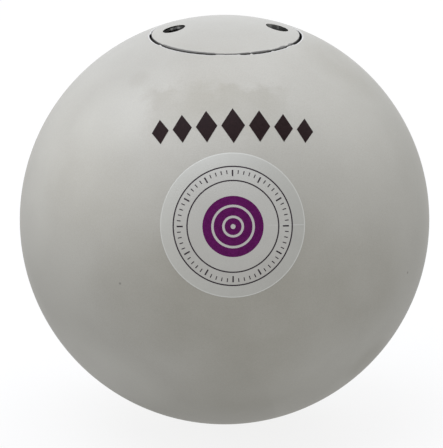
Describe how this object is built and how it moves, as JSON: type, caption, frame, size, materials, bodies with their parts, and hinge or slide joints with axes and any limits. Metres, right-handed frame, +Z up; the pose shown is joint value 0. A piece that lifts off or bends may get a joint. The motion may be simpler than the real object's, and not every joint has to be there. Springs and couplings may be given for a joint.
{
  "type": "shot put",
  "caption": "Steel throwing ball with a lead core, closed by a flush screwed plug that a pin spanner turns.",
  "frame": {"origin": "centre of the ball", "axes": "+Z up the axis of the closing plug, out through its crown; -Y towards the front, where the round label is"},
  "size_m": [0.12, 0.1203, 0.12],
  "materials": {
    "shell": "satin",
    "closure_plug": "satin",
    "sealing_ring": "matte",
    "packing": "matte",
    "filling": "matte",
    "label": "satin"
  },
  "bodies": {
    "ball": {"shell": "shell", "lower_cushion": "packing", "ballast_core": "filling", "trim_disc_1": "filling", "trim_disc_2": "filling", "trim_disc_3": "filling", "upper_cushion": "packing", "round_label": "label"},
    "seal": {"sealing_ring": "sealing_ring"},
    "plug": {"closure_plug": "closure_plug"}
  },
  "joints": [
    {"name": "plug_advance", "type": "slide", "parent": "ball", "child": "seal", "axis": [0, 0, 1], "range_m": [0, 0.012]},
    {"name": "plug_turn", "type": "hinge", "parent": "seal", "child": "plug", "pos_m": [0, 0, 0.05002], "axis": [0, 0, 1], "range_deg": [0, 2160]}
  ],
  "couplings": [
    {"joint": "plug_advance", "follows": "plug_turn", "m_per_rad": 0.00031831}
  ]
}
